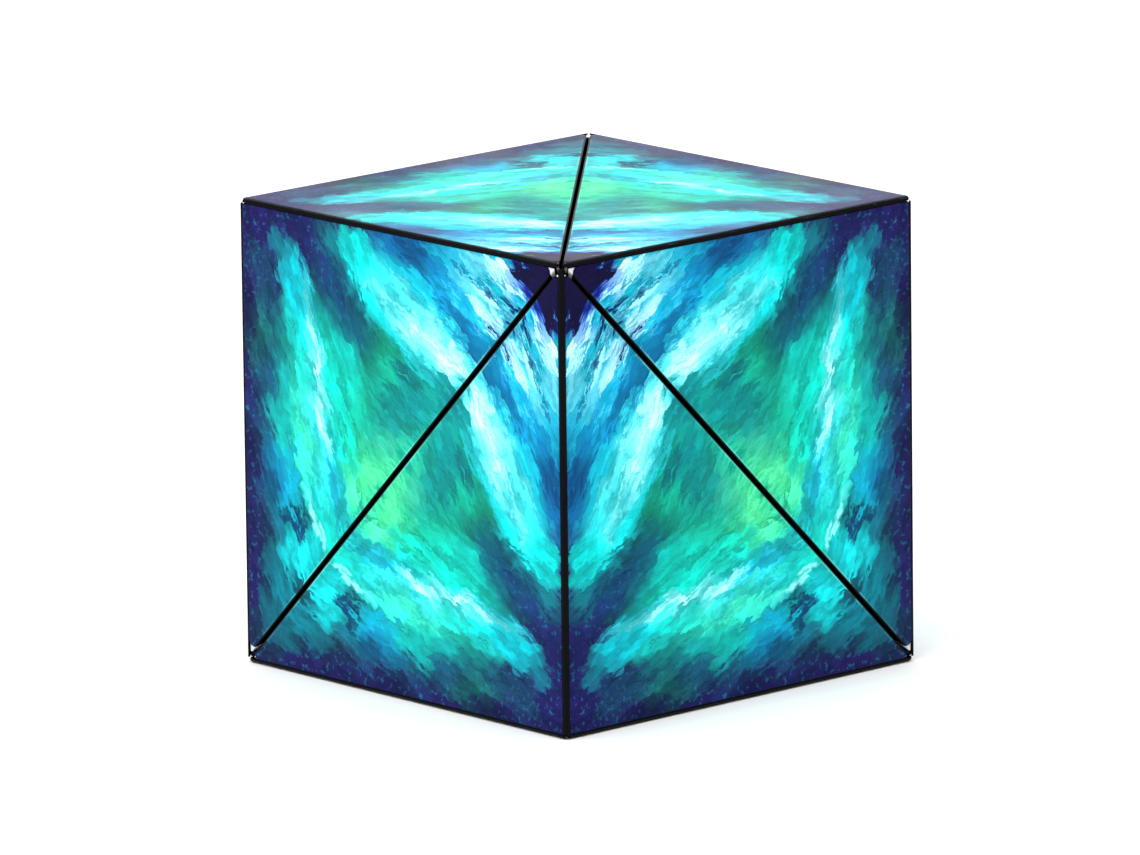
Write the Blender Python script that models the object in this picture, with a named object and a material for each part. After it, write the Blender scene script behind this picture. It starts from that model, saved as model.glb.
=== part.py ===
# A folding magnetic puzzle cube, modelled in metres with +Z up.
#
# Twelve equal wedges fill a cube. Each wedge is a pyramid on half of a square face, cut along the face's
# diagonal, with its apex at the cube's centre. Film hinges along the cube's twelve edges join the wedges
# into one closed loop, and magnets behind the inner walls hold the diagonal seams shut.

import bpy
import bmesh
from math import cos, pi, radians, sin, sqrt
from mathutils import Matrix, Vector

# Driving dimensions.
CUBE_EDGE = 0.057
HINGE_RADIUS = 0.0004
OPEN_HINGE_RADIUS = 0.00025
HINGE_END_CUT = 0.003
SEAM_GAP = 0.0004
LAYER_GAP = 0.0003
FILM_THICKNESS = 0.0003
WALL_THICKNESS = 0.0012
EDGE_CHAMFER = 0.00015
LIP_DEPTH = 0.0012
LIP_THICKNESS = 0.001
FACE_CORNER_RADIUS = 0.0008
TIP_CORNER_RADIUS = 0.0004
MAGNET_RADIUS = 0.004
MAGNET_THICKNESS = 0.002
CARRIER_RADIUS = 0.0008
CARRIER_HUB_RADIUS = 0.0016

# Heights above the cube's centre where each cut-off apex ends.
FILM_TIP = 0.0035
SHELL_TIP = 0.0032
SHELL_FLOOR = 0.006

CORNER_POINTS = 4
HINGE_SIDES = 12
MAGNET_SIDES = 16
CARRIER_SIDES = 8

WEDGE_COUNT = 12
ROOT_WEDGE = 7

# Sizes that follow from the ones above. A skin's depth is its step back from the wedge's true planes.
HALF_EDGE = CUBE_EDGE / 2
HINGE_LINE = HALF_EDGE - HINGE_RADIUS
CENTRE = Vector((0, 0, HALF_EDGE))
FILM_DEPTH = SEAM_GAP / 2
FILM_INNER_DEPTH = FILM_DEPTH + FILM_THICKNESS
SHELL_DEPTH = FILM_INNER_DEPTH + LAYER_GAP
SHELL_INNER_DEPTH = SHELL_DEPTH + WALL_THICKNESS
LIP_OUTER_DEPTH = SHELL_INNER_DEPTH + LAYER_GAP
LIP_INNER_DEPTH = LIP_OUTER_DEPTH + LIP_THICKNESS
MAGNET_DEPTH = SHELL_INNER_DEPTH + LAYER_GAP
FILM_EDGE = HINGE_LINE - HINGE_RADIUS - LAYER_GAP
COVER_TOP = HALF_EDGE - FILM_THICKNESS - LAYER_GAP
COVER_BOTTOM = COVER_TOP - WALL_THICKNESS
SHELL_RIM = COVER_BOTTOM - LAYER_GAP

# The cube's corners as signs: two poles on one long diagonal, and the six corners round its waist.
POLES = ((1, -1, 1), (-1, 1, -1))
WAIST = ((-1, -1, 1), (-1, 1, 1), (1, 1, 1), (1, 1, -1), (1, -1, -1), (-1, -1, -1))

# Each finish: colour, roughness and metallic value.
FINISHES = {
    "shell": ((0.78, 0.79, 0.80), 0.45, 0.0),
    "cover": ((0.80, 0.81, 0.82), 0.45, 0.0),
    "magnets": ((0.62, 0.62, 0.64), 0.25, 1.0),
    "film": ((0.05, 0.42, 0.62), 0.35, 0.0),
    "hinge": ((0.03, 0.03, 0.07), 0.5, 0.0),
}


def clear_scene():
    for item in list(bpy.data.objects):
        bpy.data.objects.remove(item, do_unlink=True)


def make_material(kind):
    colour, roughness, metallic = FINISHES[kind]
    material = bpy.data.materials.new(kind)
    material.use_nodes = True
    shader = material.node_tree.nodes["Principled BSDF"]
    shader.inputs["Base Color"].default_value = (*colour, 1.0)
    shader.inputs["Roughness"].default_value = roughness
    shader.inputs["Metallic"].default_value = metallic
    return material


# The loop of wedges: which cube corners each one has, and how it is turned and hung from its neighbour.

def wedge_corners(number):
    # The pole, the right-angled corner and the far corner of the wedge's outer face.
    waist = 1 + (number + 1) // 2
    far = waist + 1 if number % 2 == 0 else waist - 1
    signs = (POLES[waist % 2], WAIST[waist % 6], WAIST[far % 6])
    return [Vector(corner) for corner in signs]


def wedge_turn(number):
    # X runs from the pole to the right-angled corner and Z runs out of the face. Every other wedge is
    # a mirror image, so hand says which way its Y side lies.
    pole, square, far = wedge_corners(number)
    along = (square - pole) / 2
    across = (far - square) / 2
    out = (pole + far) / 2
    hand = 1 if along.cross(across).dot(out) > 0 else -1
    return Matrix((along, across * hand, out)).transposed().to_4x4(), hand


def hinge_ends(number):
    # The two cube corners that a wedge shares with the one before it in the loop.
    before = wedge_corners((number - 1) % WEDGE_COUNT)
    return [corner for corner in wedge_corners(number) if corner in before]


def parent_of(number):
    if number == ROOT_WEDGE:
        return None
    return number + 1 if number < ROOT_WEDGE else number - 1


def hinge_middle(number):
    first, second = hinge_ends(number)
    return CENTRE + (first + second) / 2 * HINGE_LINE


def pivot_point(number):
    # On the hinge that joins the wedge to its parent.
    if number == ROOT_WEDGE:
        return CENTRE
    return hinge_middle(number + 1 if number < ROOT_WEDGE else number)


def make_pivots():
    pivots = []
    for number in range(WEDGE_COUNT):
        pivot = bpy.data.objects.new(f"pivot_{number + 1:02d}", None)
        pivot.empty_display_size = HINGE_END_CUT
        bpy.context.collection.objects.link(pivot)
        pivots.append(pivot)
    for number, pivot in enumerate(pivots):
        pivot.location = pivot_point(number)
        if number != ROOT_WEDGE:
            pivot.parent = pivots[parent_of(number)]
            pivot.location -= pivot_point(parent_of(number))
    return pivots


# Skins: closed bodies lofted through a run of parallel triangles.

def triangle_ring(height, depth, radius, leg=None):
    # A right-angled triangle with round corners, parallel to the face, at a height above the centre.
    # Its diagonal side is stepped back by depth, and its hinged sides by leg.
    diagonal = depth * sqrt(2)
    leg = diagonal if leg is None else leg
    low = leg - height
    high = height - leg
    corners = (
        (low + diagonal, low, radians(22.5), radians(22.5)),
        (high, low, radians(45), radians(135)),
        (high, high - diagonal, radians(22.5), radians(247.5)),
    )
    ring = []
    for x, y, half_angle, inward in corners:
        reach = radius / sin(half_angle)
        middle_x = x + reach * cos(inward)
        middle_y = y + reach * sin(inward)
        sweep = pi - 2 * half_angle
        for step in range(CORNER_POINTS):
            angle = inward + pi + sweep * (step / (CORNER_POINTS - 1) - 0.5)
            ring.append((middle_x + radius * cos(angle), middle_y + radius * sin(angle), height))
    return ring


def loft(rings, hand):
    # Bridges each ring to the next and caps both ends. hand mirrors the body in Y.
    bm = bmesh.new()
    rows = [[bm.verts.new((x, y * hand, z)) for x, y, z in ring] for ring in rings]
    for row, following in zip(rows, rows[1:]):
        for index, corner in enumerate(row):
            after = (index + 1) % len(row)
            bm.faces.new((corner, row[after], following[after], following[index]))
    bm.faces.new(rows[0])
    bm.faces.new(rows[-1])
    bmesh.ops.recalc_face_normals(bm, faces=bm.faces)
    mesh = bpy.data.meshes.new("loft")
    bm.to_mesh(mesh)
    bm.free()
    return mesh


def film_mesh(hand):
    # One thin wrap: in through the apex opening, up inside, and back down over the outer faces.
    outside = FILM_DEPTH * sqrt(2)
    inside = FILM_INNER_DEPTH * sqrt(2)
    under = HALF_EDGE - FILM_THICKNESS
    inner_edge = FILM_EDGE - FILM_THICKNESS
    face = FACE_CORNER_RADIUS
    tip = TIP_CORNER_RADIUS
    rings = [
        triangle_ring(under, FILM_INNER_DEPTH, face, under - inner_edge),
        triangle_ring(inner_edge + inside, FILM_INNER_DEPTH, face),
        triangle_ring(FILM_TIP, FILM_INNER_DEPTH, tip),
        triangle_ring(FILM_TIP, FILM_DEPTH, tip),
        triangle_ring(FILM_EDGE + outside, FILM_DEPTH, face),
        triangle_ring(HALF_EDGE - EDGE_CHAMFER, FILM_DEPTH, face, HALF_EDGE - EDGE_CHAMFER - FILM_EDGE),
        triangle_ring(HALF_EDGE, FILM_DEPTH + EDGE_CHAMFER, face, HALF_EDGE + EDGE_CHAMFER - FILM_EDGE),
    ]
    return loft(rings, hand)


def shell_mesh(hand):
    # A cup of three walls, from its inner floor over the rim and down to the blunt apex.
    rings = [
        triangle_ring(SHELL_FLOOR, SHELL_INNER_DEPTH, TIP_CORNER_RADIUS),
        triangle_ring(SHELL_RIM, SHELL_INNER_DEPTH, FACE_CORNER_RADIUS),
        triangle_ring(SHELL_RIM, SHELL_DEPTH, FACE_CORNER_RADIUS),
        triangle_ring(SHELL_TIP, SHELL_DEPTH, TIP_CORNER_RADIUS),
    ]
    return loft(rings, hand)


def cover_mesh(hand):
    # A plate with a lip that locates inside the shell's rim.
    radius = FACE_CORNER_RADIUS
    shoulder = COVER_TOP - EDGE_CHAMFER
    rings = [
        triangle_ring(COVER_BOTTOM, LIP_INNER_DEPTH, radius),
        triangle_ring(SHELL_RIM - LIP_DEPTH, LIP_INNER_DEPTH, radius),
        triangle_ring(SHELL_RIM - LIP_DEPTH, LIP_OUTER_DEPTH, radius),
        triangle_ring(COVER_BOTTOM, LIP_OUTER_DEPTH, radius),
        triangle_ring(COVER_BOTTOM, SHELL_DEPTH, radius),
        triangle_ring(shoulder, SHELL_DEPTH, radius),
        triangle_ring(COVER_TOP, SHELL_DEPTH + EDGE_CHAMFER, radius),
    ]
    return loft(rings, hand)


# Round bodies.

def rod_mesh(start, end, radius, sides):
    bm = bmesh.new()
    run = end - start
    turn = run.to_track_quat("Z", "Y").to_matrix().to_4x4()
    place = Matrix.Translation((start + end) / 2) @ turn
    bmesh.ops.create_cone(
        bm, cap_ends=True, segments=sides, radius1=radius, radius2=radius, depth=run.length, matrix=place
    )
    mesh = bpy.data.meshes.new("rod")
    bm.to_mesh(mesh)
    bm.free()
    return mesh


def ball_mesh(centre, radius):
    bm = bmesh.new()
    bmesh.ops.create_icosphere(bm, subdivisions=1, radius=radius, matrix=Matrix.Translation(centre))
    mesh = bpy.data.meshes.new("ball")
    bm.to_mesh(mesh)
    bm.free()
    return mesh


def united(meshes):
    # One closed body from overlapping ones.
    helpers = [bpy.data.objects.new("union_helper", mesh) for mesh in meshes]
    for helper in helpers:
        bpy.context.collection.objects.link(helper)
    body = helpers[0]
    for helper in helpers[1:]:
        cut = body.modifiers.new("union", "BOOLEAN")
        cut.operation = "UNION"
        cut.solver = "EXACT"
        cut.object = helper
    evaluated = body.evaluated_get(bpy.context.evaluated_depsgraph_get())
    mesh = bpy.data.meshes.new_from_object(evaluated)
    for helper in helpers:
        bpy.data.objects.remove(helper, do_unlink=True)
    return mesh


def magnets_mesh(hand):
    # Three discs, one behind each inner wall, on a three-armed carrier with its hub at the wedge's middle.
    pole = Vector((-HALF_EDGE, -HALF_EDGE, HALF_EDGE))
    square = Vector((HALF_EDGE, -HALF_EDGE, HALF_EDGE))
    far = Vector((HALF_EDGE, HALF_EDGE, HALF_EDGE))
    mirror = Matrix.Diagonal((1, hand, 1)).to_3x3()
    hub = mirror @ ((pole + square + far) / 4)
    discs = []
    arms = []
    for first, second in ((pole, square), (square, far), (far, pole)):
        wall_middle = mirror @ ((first + second) / 3)
        inward = (mirror @ first).cross(mirror @ second).normalized()
        if inward.dot(hub) < 0:
            inward = -inward
        front = wall_middle + inward * MAGNET_DEPTH
        back = front + inward * MAGNET_THICKNESS
        discs.append(rod_mesh(front, back, MAGNET_RADIUS, MAGNET_SIDES))
        arms.append(rod_mesh(back - inward * MAGNET_THICKNESS / 2, hub, CARRIER_RADIUS, CARRIER_SIDES))
    mesh = united([ball_mesh(hub, CARRIER_HUB_RADIUS)] + arms + discs)
    mesh.shade_smooth()
    mesh.set_sharp_from_angle(angle=radians(35))
    return mesh


# Placing the nodes.

def add_node(name, mesh, pivot, place, material):
    # place is in the cube's own frame, and every pivot is only shifted from it, never turned.
    node = bpy.data.objects.new(name, mesh)
    bpy.context.collection.objects.link(node)
    node.parent = pivot
    node.matrix_parent_inverse = Matrix.Translation(pivot["point"]).inverted()
    node.matrix_basis = place
    if not mesh.materials:
        mesh.materials.append(material)
    return node


def add_hinge(number, pivot, material):
    # The hinge between a wedge and the one before it. The loop's open pivot has a slimmer one.
    first, second = hinge_ends(number)
    middle = hinge_middle(number)
    reach = (second - first).normalized() * (HINGE_LINE - HINGE_END_CUT)
    radius = OPEN_HINGE_RADIUS if number == 0 else HINGE_RADIUS
    mesh = rod_mesh(-reach, reach, radius, HINGE_SIDES)
    mesh.shade_smooth()
    mesh.set_sharp_from_angle(angle=radians(60))
    add_node(f"hinge_{number + 1:02d}", mesh, pivot, Matrix.Translation(middle), material)


def main():
    clear_scene()
    materials = {kind: make_material(kind) for kind in FINISHES}
    makers = {"shell": shell_mesh, "cover": cover_mesh, "magnets": magnets_mesh, "film": film_mesh}
    meshes = {(kind, hand): make(hand) for kind, make in makers.items() for hand in (1, -1)}
    pivots = make_pivots()
    for number, pivot in enumerate(pivots):
        pivot["point"] = pivot_point(number)
        turn, hand = wedge_turn(number)
        place = Matrix.Translation(CENTRE) @ turn
        for kind in makers:
            add_node(f"{kind}_{number + 1:02d}", meshes[kind, hand], pivot, place, materials[kind])
    for number in range(WEDGE_COUNT):
        # A hinge moves with the neighbour that is farther from the root wedge.
        owner = number if number == 0 or number > ROOT_WEDGE else number - 1
        add_hinge(number, pivots[owner], materials["hinge"])


main()
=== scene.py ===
import bpy
import numpy as np
from math import cos, pi, radians, sin, sqrt
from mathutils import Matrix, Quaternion, Vector


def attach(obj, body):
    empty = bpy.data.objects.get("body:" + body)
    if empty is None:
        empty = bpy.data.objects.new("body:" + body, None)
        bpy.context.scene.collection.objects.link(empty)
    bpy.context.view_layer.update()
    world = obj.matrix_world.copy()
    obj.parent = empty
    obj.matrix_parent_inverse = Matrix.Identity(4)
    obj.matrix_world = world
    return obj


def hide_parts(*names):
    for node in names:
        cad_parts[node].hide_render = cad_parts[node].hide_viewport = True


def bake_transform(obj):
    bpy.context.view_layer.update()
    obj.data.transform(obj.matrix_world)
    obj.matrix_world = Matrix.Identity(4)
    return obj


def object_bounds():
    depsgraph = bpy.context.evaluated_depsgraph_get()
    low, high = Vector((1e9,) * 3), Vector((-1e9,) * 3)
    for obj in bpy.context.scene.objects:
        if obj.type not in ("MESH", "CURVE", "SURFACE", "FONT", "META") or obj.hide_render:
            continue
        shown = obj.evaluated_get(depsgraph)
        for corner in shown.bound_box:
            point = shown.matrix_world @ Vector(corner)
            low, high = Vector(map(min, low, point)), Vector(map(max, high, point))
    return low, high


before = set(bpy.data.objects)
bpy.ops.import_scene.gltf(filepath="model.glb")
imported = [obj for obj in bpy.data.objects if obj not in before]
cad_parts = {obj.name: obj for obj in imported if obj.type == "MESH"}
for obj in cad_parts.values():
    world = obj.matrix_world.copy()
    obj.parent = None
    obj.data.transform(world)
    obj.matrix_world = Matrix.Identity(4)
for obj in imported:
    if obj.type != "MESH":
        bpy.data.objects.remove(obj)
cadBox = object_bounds()
millimetre = 0.001

# where each wedge sits: its face is half of a square, and its point is the cube's centre
cube = {
    "half": (cadBox[1][0] - cadBox[0][0]) / 2 / millimetre,
    "wedges": 12,
    "poles": ((1, -1, 1), (-1, 1, -1)),
    "waist": ((-1, -1, 1), (-1, 1, 1), (1, 1, 1), (1, 1, -1), (1, -1, -1), (-1, -1, -1)),
}


def wedgeCorners(number):
    # signs of a wedge's pole, right-angled and far corner, going round the loop
    waist = 1 + (number + 1) // 2
    far = waist + 1 if number % 2 == 0 else waist - 1
    return np.array((cube["poles"][waist % 2], cube["waist"][waist % 6], cube["waist"][far % 6]), float)


def wedgeAxes(number):
    # rows: pole to right angle, right angle to far corner, and out of the face
    pole, square, far = wedgeCorners(number)
    return np.array(((square - pole) / 2, (far - square) / 2, (pole + far) / 2))


def wedgeName(number):
    return f"wedge_{number % cube['wedges'] + 1:02d}"


def inCube(points):
    # millimetres from the cube's centre to metres above the floor
    return (points + (0, 0, cube["half"])) * millimetre


def putMesh(name, points, faces, material, uv=None):
    mesh = bpy.data.meshes.new(name)
    mesh.from_pydata(points.tolist(), [], faces)
    for polygon in mesh.polygons:
        polygon.use_smooth = True
    if uv is not None:
        layer = mesh.uv_layers.new(name="lay")
        layer.data.foreach_set("uv", np.ascontiguousarray(uv, np.float32).ravel())
    mesh.materials.append(material)
    piece = bpy.data.objects.new(name, mesh)
    bpy.context.scene.collection.objects.link(piece)
    return piece


def tubeFaces(rows, columns, first=0):
    # quads between each ring and the next, and a fan at each end to the two pole points that
    # come after the rings
    row, column = np.meshgrid(np.arange(rows - 1), np.arange(columns), indexing="ij")
    here = row * columns + column
    beside = row * columns + (column + 1) % columns
    quads = np.stack((here, beside, beside + columns, here + columns), -1).reshape(-1, 4) + first
    edge = np.arange(columns)
    turn = (edge + 1) % columns
    last = (rows - 1) * columns
    startPole = np.full(columns, rows * columns)
    startFan = np.stack((turn, edge, startPole), 1) + first
    endFan = np.stack((last + edge, last + turn, startPole + 1), 1) + first
    return quads.tolist() + startFan.tolist() + endFan.tolist()


def triangleRings(rows, steps):
    # one rounded triangle per row of (height, seam gap, leg gap, far radius, square radius); each
    # corner is an arc: middle + radius * (cos, sin) of an angle sweeping pi less the corner's own
    height, seam, leg, sharp, square = np.array(rows, float).T
    diagonal = seam * sqrt(2)
    x = np.stack((leg - height + diagonal, height - leg, height - leg), 1)[:, :, None]
    y = np.stack((leg - height, leg - height, height - leg - diagonal), 1)[:, :, None]
    radius = np.stack((sharp, square, sharp), 1)[:, :, None]
    half = np.radians((22.5, 45, 22.5))[:, None]
    inward = np.radians((22.5, 135, 247.5))[:, None]
    sweep = inward + pi + (pi - 2 * half) * (np.linspace(0, 1, steps) - 0.5)
    x = x + radius * (np.cos(inward) / np.sin(half) + np.cos(sweep))
    y = y + radius * (np.sin(inward) / np.sin(half) + np.sin(sweep))
    z = np.broadcast_to(height[:, None, None], x.shape)
    return np.stack((x, y, z), -1).reshape(len(height), -1, 3)


def ink(red, green, blue, alpha=1.0):
    # a paint chip's 0 to 255 values as the linear colour that the shader wants
    chip = np.array((red, green, blue)) / 255
    light = np.where(chip > 0.04045, ((chip + 0.055) / 1.055) ** 2.4, chip / 12.92)
    return (*light.tolist(), alpha)


def newGroup(name, inputs, outputs):
    # inputs: name, kind and starting value; outputs: name and kind
    group = bpy.data.node_groups.new(name, "ShaderNodeTree")
    for label, kind, start in inputs:
        socket = group.interface.new_socket(label, in_out="INPUT", socket_type="NodeSocket" + kind)
        socket.default_value = start
    for label, kind in outputs:
        group.interface.new_socket(label, in_out="OUTPUT", socket_type="NodeSocket" + kind)
    given = group.nodes.new("NodeGroupInput")
    result = group.nodes.new("NodeGroupOutput")
    return group, given.outputs, result.inputs


def put(tree, kind, values=None, **settings):
    # a new node; each value is a number or colour for a socket, or another node's socket to link
    node = tree.nodes.new("ShaderNode" + kind)
    for name, setting in settings.items():
        setattr(node, name, setting)
    for socket, value in (values or {}).items():
        if isinstance(value, bpy.types.NodeSocket):
            tree.links.new(value, node.inputs[socket])
        else:
            node.inputs[socket].default_value = value
    return node


def maths(tree, operation, first, second=0.0, third=0.5):
    return put(tree, "Math", {0: first, 1: second, 2: third}, operation=operation).outputs[0]


def vectors(tree, operation, first, second):
    return put(tree, "VectorMath", {0: first, 1: second}, operation=operation).outputs[0]


def scaled(tree, vector, amount):
    return put(tree, "VectorMath", {0: vector, "Scale": amount}, operation="SCALE").outputs[0]


def turned(tree, vector, angle):
    values = {"Vector": vector, "Angle": angle}
    return put(tree, "VectorRotate", values, rotation_type="Z_AXIS").outputs[0]


def stretched(tree, vector, scale):
    return put(tree, "Mapping", {"Vector": vector, "Scale": scale}).outputs[0]


def mixInk(tree, share, below, above, **settings):
    return put(tree, "Mix", {0: share, 6: below, 7: above}, data_type="RGBA", **settings).outputs[2]


def brightness(tree, colour):
    return put(tree, "SeparateColor", {0: colour}, mode="HSV").outputs[2]


def ramp(tree, value, low, high, start=0.0, end=1.0):
    # start below low and end above high, with a smooth step between
    values = {0: value, 1: low, 2: high, 3: start, 4: end}
    return put(tree, "MapRange", values, interpolation_type="SMOOTHSTEP").outputs[0]


def noise(tree, point, scale, detail=3.0, roughness=0.55):
    values = {"Vector": point, "Scale": scale, "Detail": detail, "Roughness": roughness}
    return put(tree, "TexNoise", values).outputs["Fac"]


def objectPlace(tree):
    return put(tree, "TexCoord").outputs["Object"]


def newMaterial(name, settings):
    material = bpy.data.materials.new(name)
    material.use_nodes = True
    shader = material.node_tree.nodes["Principled BSDF"]
    for socket, value in settings.items():
        shader.inputs[socket].default_value = value
    return material, material.node_tree, shader


def finishShader(tree, shader, colour, roughness, height, strength, depth):
    # colour and roughness over the surface, and a bump of the given height pattern
    values = {"Height": height, "Strength": strength, "Distance": depth}
    links = {"Base Color": colour, "Roughness": roughness, "Normal": put(tree, "Bump", values).outputs[0]}
    for socket, value in links.items():
        tree.links.new(value, shader.inputs[socket])


def patchGroup():
    # a soft oval of ink: the point measured in the oval's own turned and stretched axes, then
    # faded at its rim
    inputs = (("Point", "Vector", (0, 0, 0)), ("Below", "Color", (0, 0, 0, 1)),
              ("Ink", "Color", (1, 1, 1, 1)), ("Middle", "Vector", (0, 0, 0)),
              ("Turn", "Vector", (0, 0, 0)), ("Size", "Vector", (1, 1, 1)),
              ("Inner", "Float", 0.5), ("Outer", "Float", 1.5), ("Strength", "Float", 1.0))
    group, given, result = newGroup("ink patch", inputs, (("Ink", "Color"),))
    place = {"Vector": given["Point"], "Location": given["Middle"], "Rotation": given["Turn"],
             "Scale": given["Size"]}
    inside = put(group, "Mapping", place, vector_type="TEXTURE").outputs[0]
    away = put(group, "VectorMath", {0: inside}, operation="LENGTH").outputs["Value"]
    share = ramp(group, away, given["Outer"], given["Inner"], 0.0, given["Strength"])
    group.links.new(mixInk(group, share, given["Below"], given["Ink"]), result["Ink"])
    return group


def alongBrush(group, given):
    # the point in the brush's own axes, times (along, across), so that a pattern comes out long
    # and narrow
    back = maths(group, "MULTIPLY", given["Turn"], -1.0)
    stretch = put(group, "CombineXYZ", {0: given["Along"], 1: given["Across"], 2: 1.0}).outputs[0]
    return vectors(group, "MULTIPLY", turned(group, given["Point"], back), stretch), stretch


def strokeGroup():
    # pulls the point to and fro along the brush by a noise that is long along the stroke and
    # fine across it
    inputs = (("Point", "Vector", (0, 0, 0)), ("Turn", "Float", 0.0), ("Along", "Float", 3.0),
              ("Across", "Float", 22.0), ("Pull", "Float", 0.1))
    outputs = (("Point", "Vector"), ("Streak", "Float"))
    group, given, result = newGroup("brush stroke", inputs, outputs)
    streak = noise(group, alongBrush(group, given)[0], 1.0, 4.0, 0.62)
    shift = maths(group, "MULTIPLY", maths(group, "SUBTRACT", streak, 0.5), given["Pull"])
    push = put(group, "CombineXYZ", {0: shift, 1: 0.0, 2: 0.0}).outputs[0]
    moved = vectors(group, "ADD", given["Point"], turned(group, push, given["Turn"]))
    group.links.new(moved, result["Point"])
    group.links.new(streak, result["Streak"])
    return group


def dabGroup():
    # breaks the picture into brush dabs: long cells along the stroke, each drawn towards one
    # point near its middle, moved by a chance amount of its own, and each with its own tone
    inputs = (("Point", "Vector", (0, 0, 0)), ("Turn", "Float", 0.0), ("Along", "Float", 12.0),
              ("Across", "Float", 40.0), ("Gather", "Float", 0.7), ("Scatter", "Float", 0.04))
    outputs = (("Point", "Vector"), ("Tone", "Float"))
    group, given, result = newGroup("brush dabs", inputs, outputs)
    long, stretch = alongBrush(group, given)
    values = {"Vector": long, "Scale": 1.7, "Detail": 3.0}
    wander = put(group, "TexNoise", values, noise_dimensions="2D").outputs["Color"]
    loose = vectors(group, "ADD", long, vectors(group, "MULTIPLY", wander, (1.1, 1.1, 0)))
    values = {"Vector": loose, "Scale": 1.0, "Smoothness": 0.85}
    cell = put(group, "TexVoronoi", values, voronoi_dimensions="2D", feature="SMOOTH_F1").outputs
    toCell = vectors(group, "DIVIDE", vectors(group, "SUBTRACT", cell["Position"], loose), stretch)
    gathered = turned(group, scaled(group, toCell, given["Gather"]), given["Turn"])
    chance = vectors(group, "SUBTRACT", cell["Color"], (0.5, 0.5, 0.5))
    shift = vectors(group, "ADD", gathered, scaled(group, chance, given["Scatter"]))
    tone = put(group, "SeparateXYZ", {0: cell["Color"]}).outputs[2]
    group.links.new(vectors(group, "ADD", given["Point"], shift), result["Point"])
    group.links.new(tone, result["Tone"])
    return group


inkPatch = patchGroup()
brushStroke = strokeGroup()
brushDabs = dabGroup()

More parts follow.
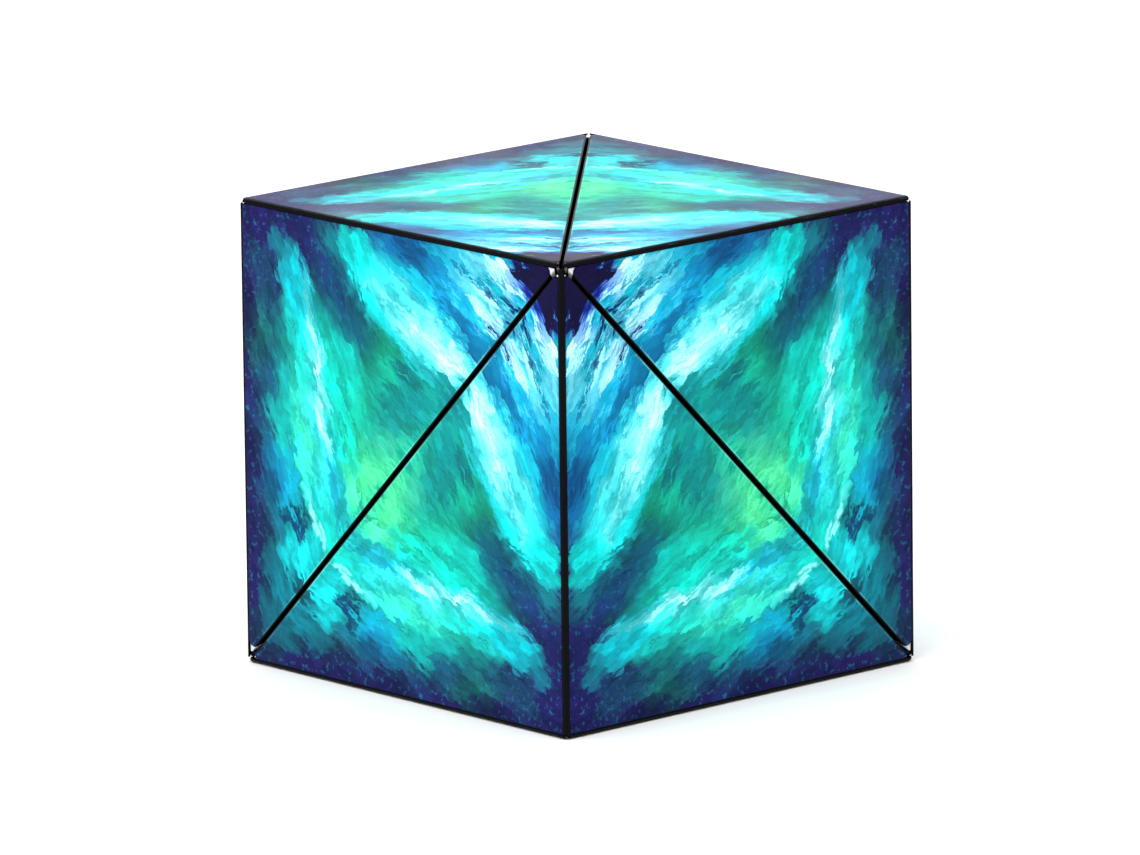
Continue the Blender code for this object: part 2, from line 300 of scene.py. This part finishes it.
# the print on the wedges: brushed clouds from dark violet through teal to white
printLook = {
    "ground": (30, 23, 80),
    "balance": (0.75, 1.06, 1.2),       # how much red, green and blue ink is laid down
    "swirl": 0.05,
    "swirlScale": 3.2,
    "dab": 0.03,
    "dabScale": 15.0,
    "nearPole": {
        "big": {"Turn": radians(-33), "Along": 13.0, "Across": 50.0, "Gather": 0.45, "Scatter": 0.03},
        "small": {"Turn": radians(-31), "Along": 34.0, "Across": 150.0, "Gather": 0.4, "Scatter": 0.02},
        "pull": {"Turn": radians(-32), "Along": 4.0, "Across": 60.0, "Pull": 0.19},
    },
    "nearFar": {
        "big": {"Turn": radians(-66), "Along": 13.0, "Across": 38.0, "Gather": 0.45, "Scatter": 0.032},
        "small": {"Turn": radians(-66), "Along": 36.0, "Across": 110.0, "Gather": 0.4, "Scatter": 0.022},
        "pull": {"Turn": radians(-70), "Along": 4.5, "Across": 40.0, "Pull": 0.14},
    },
    # middle, turn, half length and half width, fade, strength, chip; 1 is the leg of the face
    "patches": (
        ((0.47, 0.34), 38, (0.52, 0.28), 0.45, 1.0, (0, 136, 142)),
        ((0.61, 0.49), 45, (0.24, 0.13), 0.8, 0.95, (26, 218, 156)),
        ((0.60, 0.53), 45, (0.13, 0.045), 0.9, 0.75, (108, 238, 148)),
        ((0.49, 0.38), 38, (0.15, 0.06), 0.7, 0.85, (0, 132, 132)),
        ((0.46, 0.31), 20, (0.12, 0.03), 0.8, 0.8, (0, 116, 116)),
        ((1.00, 0.48), 90, (0.54, 0.085), 0.55, 1.0, (32, 19, 80)),
        ((0.93, 0.38), 85, (0.22, 0.035), 0.8, 0.8, (14, 92, 112)),
        ((0.86, 0.01), 0, (0.22, 0.10), 0.6, 1.0, (31, 24, 84)),
        ((0.95, 0.13), 10, (0.05, 0.03), 0.8, 0.6, (26, 90, 116)),
        ((0.96, 0.96), 60, (0.09, 0.06), 0.5, 1.0, (28, 12, 62)),
        ((0.775, 0.53), -84, (0.25, 0.10), 0.6, 1.0, (8, 208, 182)),
        ((0.70, 0.33), -70, (0.11, 0.055), 0.7, 0.95, (4, 202, 172)),
        ((0.79, 0.30), -80, (0.16, 0.035), 0.6, 0.9, (4, 210, 188)),
        ((0.885, 0.60), -78, (0.08, 0.028), 0.8, 0.75, (0, 88, 146)),
        ((0.735, 0.54), -65, (0.13, 0.04), 0.8, 0.9, (40, 206, 228)),
        ((0.83, 0.60), -80, (0.08, 0.035), 0.8, 0.8, (4, 178, 212)),
        ((0.81, 0.17), -65, (0.09, 0.036), 0.7, 1.0, (0, 204, 208)),
        ((0.80, 0.47), -80, (0.12, 0.03), 0.9, 0.8, (76, 228, 176)),
        ((0.86, 0.79), 60, (0.14, 0.06), 0.7, 0.9, (0, 128, 138)),
        ((0.80, 0.73), 0, (0.06, 0.055), 0.35, 1.0, (14, 202, 196)),
        ((0.82, 0.665), 5, (0.055, 0.016), 0.6, 0.95, (2, 44, 84)),
        ((0.36, 0.10), -35, (0.22, 0.09), 0.7, 1.0, (0, 116, 168)),
        ((0.40, 0.03), -12, (0.14, 0.035), 0.8, 0.8, (0, 84, 142)),
        ((0.30, 0.14), -35, (0.10, 0.022), 0.8, 0.8, (10, 184, 214)),
        ((0.33, 0.05), -28, (0.10, 0.015), 0.9, 0.7, (10, 160, 190)),
        ((0.56, 0.14), -35, (0.14, 0.06), 0.7, 1.0, (0, 212, 200)),
        ((0.955, 0.29), 80, (0.08, 0.03), 0.7, 0.9, (10, 136, 110)),
        ((0.57, 0.26), -50, (0.08, 0.04), 0.7, 0.85, (8, 166, 118)),
        ((0.47, 0.275), -22, (0.10, 0.016), 0.8, 0.85, (12, 156, 116)),
        ((0.61, 0.24), -50, (0.07, 0.04), 0.8, 0.85, (2, 98, 104)),
        ((0.68, 0.16), -50, (0.11, 0.045), 0.8, 0.85, (14, 54, 98)),
        ((0.455, 0.175), -36, (0.18, 0.068), 0.5, 1.0, (20, 214, 212)),
        ((0.335, 0.25), -40, (0.07, 0.026), 0.6, 1.0, (90, 236, 232)),
        ((0.42, 0.20), -32, (0.14, 0.040), 0.8, 0.9, (130, 244, 234)),
        ((0.385, 0.228), -30, (0.10, 0.018), 0.9, 1.0, (232, 255, 250)),
        ((0.31, 0.268), -40, (0.05, 0.014), 0.7, 1.0, (248, 255, 254)),
        ((0.50, 0.165), -33, (0.10, 0.010), 0.9, 0.8, (190, 252, 246)),
        ((0.43, 0.14), -33, (0.10, 0.008), 0.9, 0.8, (150, 246, 244)),
        ((0.62, 0.06), -60, (0.06, 0.036), 0.5, 1.0, (0, 204, 190)),
        ((0.19, 0.075), -26, (0.16, 0.095), 0.6, 1.0, (0, 172, 192)),
        ((0.20, 0.06), -18, (0.13, 0.045), 0.9, 0.9, (40, 206, 220)),
        ((0.16, 0.045), -14, (0.10, 0.022), 0.8, 0.95, (196, 244, 248)),
        ((0.15, 0.02), -8, (0.06, 0.010), 0.7, 0.95, (248, 255, 255)),
        ((0.20, 0.115), -30, (0.09, 0.014), 0.8, 0.9, (170, 248, 255)),
        ((0.225, 0.145), -34, (0.06, 0.008), 0.8, 0.9, (220, 254, 255)),
        ((0.272, 0.228), -37, (0.040, 0.012), 0.5, 1.0, (2, 28, 110)),
        ((0.238, 0.198), -37, (0.036, 0.009), 0.5, 1.0, (2, 36, 120)),
        ((0.203, 0.168), -37, (0.032, 0.009), 0.5, 1.0, (4, 28, 112)),
        ((0.168, 0.140), -37, (0.030, 0.009), 0.5, 1.0, (6, 18, 100)),
        ((0.132, 0.110), -35, (0.030, 0.009), 0.5, 1.0, (8, 12, 90)),
        ((0.045, 0.025), 14, (0.105, 0.070), 0.3, 1.0, (0, 50, 160)),
        ((0.035, 0.018), 14, (0.092, 0.058), 0.14, 1.0, (16, 4, 58)),
        ((0.765, 0.33), -83, (0.12, 0.020), 0.9, 0.7, (110, 240, 230)),
        ((0.765, 0.33), -83, (0.11, 0.007), 0.9, 0.8, (214, 254, 246)),
        ((0.755, 0.43), -60, (0.05, 0.007), 0.9, 0.9, (215, 255, 245)),
        ((0.752, 0.675), -65, (0.055, 0.007), 0.9, 0.9, (180, 250, 244)),
        ((1.02, 0.45), 90, (0.66, 0.082), 0.7, 0.92, (30, 18, 76)),
        ((0.99, 0.02), 20, (0.14, 0.06), 0.7, 0.85, (30, 18, 76)),
    ),
    "speck": (26, 128, 140),
    "speckScale": 75.0,
    "speckShare": 0.36,
    "fanMiddle": (0.17, 0.07, 0),
    "fanLow": (0, 112, 178),
    "fanHigh": (225, 255, 255),
    # the black margins along the hinges and the seam, and the pale ink bleed beside the seam, which is
    # also a painted highlight on the seam's rounded edge
    "black": (3, 3, 6),
    "blackLeg": 0.0112,
    "blackSeam": 0.0104,
    "blackFade": 0.0012,
    "bleed_and_highlight": (120, 236, 226),
    "bleed_and_highlight_fade": (0.012, 0.0165),
    "peel": 900.0,
    "rubbed": 60.0,
}


def brushed(tree, point, way):
    # small dabs, then big ones, then long hairs, all laid one way; gives point, streak and tone
    small = put(tree, "Group", {"Point": point, **way["small"]}, node_tree=brushDabs).outputs
    big = put(tree, "Group", {"Point": small["Point"], **way["big"]}, node_tree=brushDabs).outputs
    hair = put(tree, "Group", {"Point": big["Point"], **way["pull"]}, node_tree=brushStroke).outputs
    halves = [maths(tree, "MULTIPLY", dab["Tone"], 0.5) for dab in (small, big)]
    return hair["Point"], hair["Streak"], maths(tree, "ADD", *halves)


def brushedClouds(tree, lay):
    # the point is warped by noise, dabs and hairs, then each soft patch of ink is laid in turn
    look = printLook
    swirl = {"Vector": lay, "Scale": look["swirlScale"], "Detail": 2.0}
    dab = {"Vector": lay, "Scale": look["dabScale"], "Detail": 4.0, "Roughness": 0.65}
    point = lay
    for values, size in ((swirl, look["swirl"]), (dab, look["dab"])):
        wander = put(tree, "TexNoise", values).outputs["Color"]
        centred = vectors(tree, "SUBTRACT", wander, (0.5, 0.5, 0.5))
        point = vectors(tree, "ADD", point, scaled(tree, centred, size))
    pole = brushed(tree, point, look["nearPole"])
    far = brushed(tree, point, look["nearFar"])
    across = put(tree, "SeparateXYZ", {0: lay}).outputs
    side = ramp(tree, across[0], 0.45, 0.7)
    spot = put(tree, "Mix", {0: side, 4: pole[0], 5: far[0]}, data_type="VECTOR").outputs[1]
    streak = put(tree, "Mix", {0: side, 2: pole[1], 3: far[1]}, data_type="FLOAT").outputs[0]
    tone = put(tree, "Mix", {0: side, 2: pole[2], 3: far[2]}, data_type="FLOAT").outputs[0]
    flat = vectors(tree, "MULTIPLY", spot, (1, 1, 0))
    colour = ink(*look["ground"])
    for middle, turn, size, fade, strength, chip in look["patches"]:
        values = {"Point": flat, "Below": colour, "Ink": ink(*chip), "Middle": (*middle, 0),
                  "Turn": (0, 0, radians(turn)), "Size": (*size, 1), "Inner": 1 - fade,
                  "Outer": 1 + fade, "Strength": strength}
        colour = put(tree, "Group", values, node_tree=inkPatch).outputs[0]
    # fine rays that fan out from the pole: blue in the low hairs, white in the high ones
    away = put(tree, "VectorMath", {0: flat, 1: look["fanMiddle"]}, operation="DISTANCE")
    fan = ramp(tree, away.outputs["Value"], 0.1, 0.22, 1.0, 0.0)
    fan = maths(tree, "MULTIPLY", fan, ramp(tree, brightness(tree, colour), 0.2, 0.45))
    low = maths(tree, "MULTIPLY", fan, ramp(tree, streak, 0.34, 0.5, 0.8, 0.0))
    high = maths(tree, "MULTIPLY", fan, ramp(tree, streak, 0.54, 0.7, 0.0, 0.7))
    colour = mixInk(tree, low, colour, ink(*look["fanLow"]))
    colour = mixInk(tree, high, colour, ink(*look["fanHigh"]))
    # small teal specks that show in the dark inks, but not in the blot at the pole
    speck = ramp(tree, noise(tree, lay, look["speckScale"], 2.0), 0.56, 0.68, 0.0, look["speckShare"])
    speck = maths(tree, "MULTIPLY", speck, ramp(tree, brightness(tree, colour), 0.1, 0.4, 1.0, 0.0))
    toPole = put(tree, "VectorMath", {0: lay}, operation="LENGTH").outputs["Value"]
    speck = maths(tree, "MULTIPLY", speck, ramp(tree, toPole, 0.15, 0.25))
    return mixInk(tree, speck, colour, ink(*look["speck"])), streak, tone, across


def hairTint(tree, lay, colour, streak, tone):
    # the brush's own light and dark hairs and dabs; light inks turn cyan in them rather than grey
    hairs = ramp(tree, streak, 0.3, 0.7, 0.5, 1.36)
    cloud = ramp(tree, noise(tree, lay, 9.0, 5.0, 0.6), 0.3, 0.7, 0.78, 1.15)
    lit = maths(tree, "MULTIPLY", hairs, cloud)
    lit = maths(tree, "MULTIPLY", lit, maths(tree, "MULTIPLY_ADD", tone, 0.5, 0.76))
    pale = ramp(tree, put(tree, "SeparateColor", {0: colour}).outputs[0], 0.15, 0.8)
    warm = maths(tree, "POWER", maths(tree, "MINIMUM", lit, 1.1), 2.2)
    cool = maths(tree, "POWER", lit, maths(tree, "MULTIPLY_ADD", pale, -0.75, 1.0))
    shares = zip((warm, cool, cool), printLook["balance"])
    balanced = [maths(tree, "MULTIPLY", hair, share) for hair, share in shares]
    return put(tree, "CombineColor", dict(enumerate(balanced))).outputs[0]


def blackMargins(tree, lay, across, colour):
    # black along the two hinges and the seam, with a pale ink bleed beside the seam that also paints the
    # highlight of the seam's rounded edge
    look = printLook
    right = maths(tree, "SUBTRACT", 1.0, across[0])
    toLeg = maths(tree, "MINIMUM", across[1], right)
    toSeam = maths(tree, "SUBTRACT", across[0], across[1])
    black = []
    for away, edge in ((toLeg, look["blackLeg"]), (toSeam, look["blackSeam"])):
        black.append(ramp(tree, away, edge - look["blackFade"], edge + look["blackFade"], 1.0, 0.0))
    # painted highlight and ink bleed: a pale line just beside the seam, in noisy patches, only where the
    # ink is not dark
    bleed_and_highlight = ramp(tree, toSeam, *look["bleed_and_highlight_fade"], 0.5, 0.0)
    bleed_and_highlight = maths(tree, "MULTIPLY", bleed_and_highlight, ramp(tree, noise(tree, lay, 7.0), 0.42, 0.62))
    bleed_and_highlight = maths(tree, "MULTIPLY", bleed_and_highlight, ramp(tree, brightness(tree, colour), 0.05, 0.3))
    colour = mixInk(tree, bleed_and_highlight, colour, ink(*look["bleed_and_highlight"]))
    return mixInk(tree, maths(tree, "MAXIMUM", *black), colour, ink(*look["black"]))


def printedFilm():
    settings = {"Roughness": 0.38, "Specular IOR Level": 0.06}
    material, tree, shader = newMaterial("printed film", settings)
    lay = put(tree, "UVMap", uv_map="lay").outputs[0]
    colour, streak, tone, across = brushedClouds(tree, lay)
    tint = hairTint(tree, lay, colour, streak, tone)
    colour = mixInk(tree, 1.0, colour, tint, blend_type="MULTIPLY", clamp_result=True)
    colour = blackMargins(tree, lay, across, colour)
    # a satin laminate: faint orange peel and a few rubbed patches
    place = objectPlace(tree)
    rough = ramp(tree, noise(tree, place, printLook["rubbed"], 4.0), 0.3, 0.75, 0.3, 0.46)
    finishShader(tree, shader, colour, rough, noise(tree, place, printLook["peel"], 2.0), 0.12, 0.00005)
    return material


printFilm = printedFilm()
print("print mixed:", len(printLook["patches"]), "ink patches")

finishLook = {
    "flex": {"chip": (5, 5, 8), "wear_and_highlight": (62, 62, 72)},
    "shell": {"chip": (232, 231, 228), "shade": (218, 218, 216)},
    "cover": {"chip": (196, 198, 204), "shade": (182, 184, 192)},
    "plate": {"chip": (206, 204, 200), "tarnish": (150, 140, 126)},
    "spark": 2400.0,
    "flow": (40.0, 40.0, 160.0),
    "grain": (3000.0, 300.0, 300.0),
}


def flexFilm():
    # black film that folds: fine creases along the fold, and a little grey at the corner that is partly
    # rubbed wear and partly a painted highlight
    look = finishLook["flex"]
    settings = {"Roughness": 0.42, "Specular IOR Level": 0.06}
    material, tree, shader = newMaterial("hinge film", settings)
    lay = put(tree, "UVMap", uv_map="lay").outputs[0]
    crease = noise(tree, stretched(tree, lay, (60.0, 9.0, 1.0)), 1.0, 3.0)
    rub = noise(tree, objectPlace(tree), 260.0, 4.0, 0.7)
    fromFold = maths(tree, "SUBTRACT", put(tree, "SeparateXYZ", {0: lay}).outputs[1], 0.5)
    ridge = ramp(tree, maths(tree, "ABSOLUTE", fromFold), 0.03, 0.2, 1.0, 0.0)
    # painted highlight and wear: lighter grey in noisy patches along the fold's crest
    wear_and_highlight = maths(tree, "MULTIPLY", ridge, ramp(tree, rub, 0.55, 0.8))
    colour = mixInk(tree, wear_and_highlight, ink(*look["chip"]), ink(*look["wear_and_highlight"]))
    finishShader(tree, shader, colour, ramp(tree, rub, 0.3, 0.7, 0.36, 0.55), crease, 0.3, 0.00004)
    return material


def mouldedPlastic(kind):
    # pale moulded plastic: fine spark texture and faint flow marks
    look = finishLook[kind]
    material, tree, shader = newMaterial(kind + " plastic", {"Roughness": 0.45})
    place = objectPlace(tree)
    spark = noise(tree, place, finishLook["spark"], 2.0)
    flow = noise(tree, stretched(tree, place, finishLook["flow"]), 1.0, 4.0)
    colour = mixInk(tree, ramp(tree, flow, 0.35, 0.7), ink(*look["chip"]), ink(*look["shade"]))
    finishShader(tree, shader, colour, ramp(tree, flow, 0.3, 0.7, 0.4, 0.55), spark, 0.25, 0.00002)
    return material


def platedMetal():
    # nickel plate: rolled grain and a thin brown tarnish in patches
    look = finishLook["plate"]
    material, tree, shader = newMaterial("nickel plate", {"Metallic": 1.0, "Roughness": 0.25})
    place = objectPlace(tree)
    grain = noise(tree, stretched(tree, place, finishLook["grain"]), 1.0, 3.0)
    tarnish = ramp(tree, noise(tree, place, 500.0, 4.0), 0.5, 0.75)
    colour = mixInk(tree, tarnish, ink(*look["chip"]), ink(*look["tarnish"]))
    finishShader(tree, shader, colour, ramp(tree, grain, 0.3, 0.7, 0.2, 0.38), grain, 0.2, 0.00002)
    return material


hingeFilm = flexFilm()
shellPlastic = mouldedPlastic("shell")
coverPlastic = mouldedPlastic("cover")
magnetMetal = platedMetal()
print("finishes mixed: film, hinge film, two plastics and nickel plate")

# the printed film of each wedge, in millimetres
film = {
    "width": 28.0,          # from the cube's middle to the film's edge at a hinge
    "round": 0.14,          # of the face's edges
    "seam": 0.2,
    "fold": 0.2,            # how far each wall steps back from its neighbour's
    "sharp": 0.35,          # radii of the far corners and of the square one
    "square": 0.5,
    # how round the far corners of each wedge's face are trimmed, and how far down that goes
    "cut": (0.5, 0.55, 0.85, 0.5, 0.6, 0.45, 0.5, 0.55, 0.5, 0.85, 0.55, 0.6),
    "cutDeep": 3.6,
    "thick": 0.12,
    "tip": 3.5,             # where the film stops above the cube's centre
    "insets": (7.5, 4.0, 1.2, 0.45),
    "drops": (1.2, 2.4, 3.6, 8.0, 16.0),
    "printDrop": 1.2,       # how far the straight print goes down the seam wall
    "cornerSteps": 9,
    "roundSteps": 6,
}


def filmRows(cut):
    # height, seam gap, leg gap, far radius and square radius: from the face's middle over the
    # quarter round of its edge (sin and cos of a turn), down the three walls to the open tip,
    # and back up the inside
    face, leg = cube["half"], film["fold"] * sqrt(2)
    seam, sharp, square = film["seam"], film["sharp"], film["square"]
    rows = []
    for inset in film["insets"]:
        back = film["round"] + inset
        rows.append((face, seam + back, face - film["width"] + back, cut, square))
    for step in range(film["roundSteps"] + 1):
        turn = pi / 2 * (1 - step / film["roundSteps"])
        height = face - film["round"] * (1 - sin(turn))
        back = film["round"] * (1 - cos(turn))
        rows.append((height, seam + back, height - film["width"] + back, cut, square))
    rows.append((film["width"] + leg, seam, leg, cut, square))
    for drop in film["drops"]:
        share = min(drop / film["cutDeep"], 1)
        rows.append((face - drop, seam, leg, cut + (sharp - cut) * share, square))
    rows.append((film["tip"], seam, leg, sharp, square))
    seam, leg = seam + film["thick"], leg + film["thick"] * sqrt(2)
    sharp, square = sharp - film["thick"], square - film["thick"]
    rows.append((film["tip"], seam, leg, sharp, square))
    rows.append((face - film["cutDeep"], seam, leg, sharp, square))
    rows.append((face - film["thick"], seam, leg + 0.1, max(cut - film["thick"], sharp), square))
    rows.append((face - film["thick"], seam + 6, leg + 6, sharp, square))
    return rows


def filmLay(points, faces):
    # the print laid straight down on the face and the two hinge walls; on the seam wall the same
    # print slides in from the diagonal as the wall goes down
    half = cube["half"]
    counts = np.array([len(face) for face in faces])
    spot = points[np.concatenate(faces)]
    middle = np.add.reduceat(spot, np.r_[0, np.cumsum(counts)[:-1]]) / counts[:, None]
    straight = (spot[:, :2] + half) / (2 * half)
    along = straight.mean(1)
    down = np.maximum(half - film["printDrop"] - spot[:, 2], 0) / (4 * half)
    slid = np.stack((along + down, along - down), 1)
    nearSeam = middle[:, 0] - middle[:, 1] < 3 * film["seam"]
    onSeam = nearSeam & (middle[:, 2] < half - film["round"] * 0.9)
    return np.where(np.repeat(onSeam, counts)[:, None], slid, straight)


def putWedgePiece(name, number, points, faces, material, printed=False):
    # points @ axes turns the wedge's own millimetres to its place in the cube
    axes = wedgeAxes(number)
    if np.linalg.det(axes) > 0:
        faces = [face[::-1] for face in faces]
    lay = filmLay(points, faces) if printed else None
    piece = putMesh(name, inCube(points @ axes), faces, material, lay)
    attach(piece, wedgeName(number))
    return piece


def makeFilm(number):
    rings = triangleRings(filmRows(film["cut"][number]), film["cornerSteps"])
    points = np.vstack((rings.reshape(-1, 3), rings[0].mean(0), rings[-1].mean(0)))
    faces = tubeFaces(*rings.shape[:2])
    piece = putWedgePiece(f"printed_film_{number + 1:02d}", number, points, faces, printFilm, True)
    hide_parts(f"film_{number + 1:02d}")
    return piece


films = [makeFilm(number) for number in range(cube["wedges"])]
print("printed films:", len(films))

# the folding strips between the wedges, in millimetres
strip = {
    "middle": 0.47,         # the rounded corner's centre, in from both faces
    "outer": 0.45,          # the strip's outer radius
    "thick": 0.2,
    "shy": 0.62,            # stops this far before the cube's corners
    "turnSteps": 12,
    "slit": 0.02,
}


def makeStrip(name, number, start, end):
    # a thin quarter ring, (cos, sin) of the turn times the outer and then the inner radius,
    # carried along the edge that wedges number - 1 and number share
    before, after = wedgeAxes(number - 1)[2], wedgeAxes(number)[2]
    corners = wedgeCorners(number)
    ends = corners[1:] if number % 2 == 1 else corners[:2]
    along = (ends[1] - ends[0]) / 2
    reach = cube["half"] - strip["shy"]
    station = np.r_[-reach, -reach + 0.05, np.linspace(-reach + 1, reach - 1, 15), reach - 0.05, reach]
    turn = np.linspace(start, end, strip["turnSteps"])
    radius = np.repeat((strip["outer"], strip["outer"] - strip["thick"]), len(turn))
    turn = np.r_[turn, turn[::-1]]
    section = np.stack((np.cos(turn), np.sin(turn)), 1) * radius[:, None]
    heart = section.mean(0)
    shrink = np.where(np.abs(station) == reach, 0.9, 1.0)[:, None, None]
    section = np.vstack(((heart + (section - heart) * shrink).reshape(-1, 2), heart, heart))
    depth = strip["middle"] - section
    station = np.r_[np.repeat(station, len(turn)), -reach, reach]
    local = station[:, None] * along - depth[:, :1] * before - depth[:, 1:] * after
    faces = tubeFaces(len(shrink), len(turn))
    if np.dot(np.cross(before, after), along) < 0:
        faces = [face[::-1] for face in faces]
    fromFold = (depth[:, 0] - depth[:, 1]) / strip["middle"] / 2
    lay = np.stack((station / (2 * cube["half"]) + 0.5, 0.5 + fromFold), 1)
    points = inCube(local + cube["half"] * (before + after))
    piece = putMesh(name, points, faces, hingeFilm, lay[np.concatenate(faces)])
    return piece, before, after


def makeStrips():
    made = []
    for number in range(1, cube["wedges"]):
        piece, before, after = makeStrip(f"hinge_strip_{number + 1:02d}", number, 0, pi / 2)
        edge = cube["half"] * (before + after)
        start = inCube(edge - strip["middle"] * after)
        end = inCube(edge - strip["middle"] * before)
        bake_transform(piece)
        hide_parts(f"hinge_{number + 1:02d}")
        made.append(piece)
    # the twelfth strip is slit along its fold, and each half stays with its own wedge
    slit = strip["slit"] / strip["outer"] / 2
    for side, start, end, wedge in (("a", 0, pi / 4 - slit, -1), ("b", pi / 4 + slit, pi / 2, 0)):
        piece = makeStrip("hinge_strip_01_" + side, 0, start, end)[0]
        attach(piece, wedgeName(wedge))
        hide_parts("hinge_01")
        made.append(piece)
    return made


strips = makeStrips()
print("hinge strips:", len(strips))

# the pale corner tips of the moulded shells, bare where the film's corners are trimmed
tips = {
    "gap": 0.335,           # in from the wedge's own walls
    "below": 0.135,
    "side": 2.4,
    "deep": 2.6,
    "radius": 0.12,
    "steps": 6,
    # how far down, how far in, and how much of the side is left, for each ring
    "rows": ((0, 0.05, 0.95), (0.02, 0.015, 1), (0.05, 0, 1), (0.5, 0, 0.9), (1, 0.1, 0.5)),
}


def makeTips(number):
    # each ring is a small triangle: an arc round the corner, middle + radius * (cos, sin), then
    # one point out along each of the corner's two sides
    rows = np.array(tips["rows"])
    height = (cube["half"] - tips["below"] - rows[:, 0] * tips["deep"])[:, None]
    gap = (tips["gap"] + rows[:, 1])[:, None] * sqrt(2)
    low, high = gap - height, height - gap
    side = rows[:, 2:] * tips["side"]
    corners = ((low + gap, low, 0, 45), (high, low, 90, 180), (high, high - gap, 225, 270))
    points, faces = [], []
    for x, y, leave, arrive in corners:
        leave, arrive = radians(leave), radians(arrive)
        half, inward = (arrive - leave) / 2, (arrive + leave) / 2
        turn = inward + pi + (pi - 2 * half) * (np.linspace(0, 1, tips["steps"]) - 0.5)
        out = tips["radius"] / sin(half)
        ring = []
        for start, wave in ((x, np.cos), (y, np.sin)):
            arc = start + out * wave(inward) + tips["radius"] * wave(turn)
            ring.append(np.hstack((arc, start + side * wave(leave), start + side * wave(arrive))))
        rings = np.stack((*ring, np.broadcast_to(height, ring[0].shape)), -1)
        faces += tubeFaces(*rings.shape[:2], sum(len(part) for part in points))
        points.append(np.vstack((rings.reshape(-1, 3), rings[0].mean(0), rings[-1].mean(0))))
    points = np.vstack(points)
    piece = putWedgePiece(f"corner_tips_{number + 1:02d}", number, points, faces, shellPlastic)
    return piece


cornerTips = [makeTips(number) for number in range(cube["wedges"])]
print("corner tips:", len(cornerTips) * 3)

# finishes for the shells, covers and magnets, which stay from the frame
finishes = {"shell": shellPlastic, "cover": coverPlastic, "magnets": magnetMetal}
for name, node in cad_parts.items():
    kind = name.split("_")[0]
    if kind in finishes:
        node.data.materials.clear()
        node.data.materials.append(finishes[kind])

floorLook = {
    "size": 9.0,
    "chip": (250, 250, 250),
    "shade": (244, 245, 246),
}


def makeFloor():
    # a square sheet just under the cube
    side = np.linspace(-floorLook["size"], floorLook["size"], 5)
    x, y = np.meshgrid(side, side, indexing="xy")
    points = np.stack((x, y, np.full_like(x, -0.00005)), -1).reshape(-1, 3)
    row, column = np.meshgrid(np.arange(4), np.arange(4), indexing="ij")
    corner = row * 5 + column
    faces = np.stack((corner, corner + 1, corner + 6, corner + 5), -1).reshape(-1, 4).tolist()
    settings = {"Roughness": 0.8, "Specular IOR Level": 0.1}
    material, tree, shader = newMaterial("pale paper floor", settings)
    cloud = noise(tree, objectPlace(tree), 6.0, 3.0)
    colour = mixInk(tree, cloud, ink(*floorLook["chip"]), ink(*floorLook["shade"]))
    tree.links.new(colour, shader.inputs["Base Color"])
    floor = putMesh("floor", points, faces, material)
    return floor


lighting = {
    "world": 0.66,
    # azimuth, elevation, distance, size, power, colour
    "lamps": (
        ("overhead softbox", 20, 82, 0.9, 0.8, 7.5, (1.0, 1.0, 1.0)),
        ("left softbox", 15, 25, 1.3, 0.9, 5.0, (1.0, 1.0, 1.0)),
        ("back softbox", 227, 16, 1.6, 1.4, 4.5, (0.98, 0.99, 1.0)),
    ),
}


def towards(azimuth, elevation):
    # from the cube to a lamp or the camera, with azimuth 0 at the cube's -Y side
    azimuth, elevation = radians(azimuth), radians(elevation)
    return Vector((sin(azimuth) * cos(elevation), -cos(azimuth) * cos(elevation), sin(elevation)))


def makeLights():
    world = bpy.data.worlds.new("studio")
    world.use_nodes = True
    glow = world.node_tree.nodes["Background"]
    glow.inputs["Color"].default_value = (1, 1, 1, 1)
    glow.inputs["Strength"].default_value = lighting["world"]
    bpy.context.scene.world = world
    for name, azimuth, elevation, distance, size, power, colour in lighting["lamps"]:
        lamp = bpy.data.lights.new(name, "AREA")
        lamp.size = size
        lamp.energy = power
        lamp.color = colour
        holder = bpy.data.objects.new(name, lamp)
        back = towards(azimuth, elevation)
        holder.location = back * distance
        holder.rotation_mode = "QUATERNION"
        holder.rotation_quaternion = back.to_track_quat("Z", "Y")
        bpy.context.scene.collection.objects.link(holder)


viewing = {
    "azimuth": 47.55,
    "elevation": 12.35,
    "distance": 1.561,
    "target": (-0.0014, 0.0, 0.02855),
    "roll": -0.67,
    "lens": 410.8,
}


def makeCamera():
    lens = bpy.data.cameras.new("camera")
    lens.lens = viewing["lens"]
    lens.sensor_width = 36.0
    lens.clip_start = 0.1
    lens.clip_end = 40.0
    back = towards(viewing["azimuth"], viewing["elevation"])
    roll = Quaternion((0, 0, 1), radians(viewing["roll"]))
    holder = bpy.data.objects.new("camera", lens)
    holder.location = Vector(viewing["target"]) + back * viewing["distance"]
    holder.rotation_mode = "QUATERNION"
    holder.rotation_quaternion = back.to_track_quat("Z", "Y") @ roll
    bpy.context.scene.collection.objects.link(holder)
    bpy.context.scene.camera = holder


makeFloor()
makeLights()
makeCamera()
bpy.context.scene.view_settings.view_transform = "Standard"
print("floor, lights and camera set")
